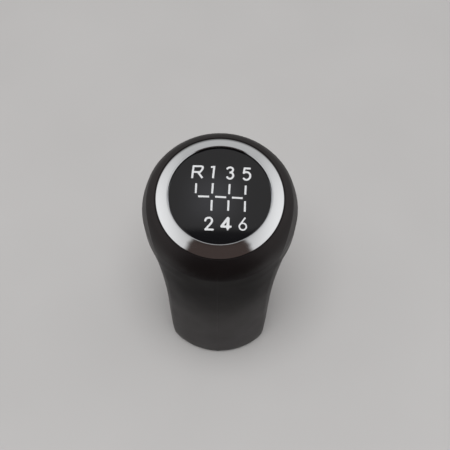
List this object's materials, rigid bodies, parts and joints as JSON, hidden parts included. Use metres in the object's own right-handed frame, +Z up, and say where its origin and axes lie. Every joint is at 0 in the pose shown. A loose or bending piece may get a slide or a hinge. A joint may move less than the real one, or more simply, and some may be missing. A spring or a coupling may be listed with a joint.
{
  "type": "gear shift knob",
  "caption": "Push-on gear shift knob: waisted soft-touch grip, tilted round head, chromed bezel, gloss black shift plate and a clip-in sleeve for the lever.",
  "frame": {"origin": "centre of the lever bore at the knob's underside", "axes": "+Z up along the lever axis, -Y towards the driver, +X to the driver's right"},
  "size_m": [0.0508, 0.051, 0.0848],
  "materials": {
    "grip_skin": "soft-touch matt black",
    "core_plastic": "glass-filled, moulded",
    "cap_plastic": "fine moulded grain",
    "sleeve_plastic": "natural acetal",
    "spring_steel": "drawn wire",
    "stop_rubber": "smooth",
    "weight_steel": "turned and zinc plated",
    "washer_foam": "closed-cell foam",
    "bezel_chrome": "satin-bright plating",
    "tape": "double-sided foam tape",
    "plate_gloss": "piano black"
  },
  "bodies": {
    "root": {"grip_cover": "grip_skin", "core_frame": "core_plastic", "base_cap": "cap_plastic", "lever_sleeve": "sleeve_plastic", "spring_ring": "spring_steel", "end_stop": "stop_rubber", "balance_weight": "weight_steel", "damping_washer": "washer_foam", "bezel": "bezel_chrome", "adhesive_pad": "tape", "shift_plate": "plate_gloss"}
  },
  "joints": []
}
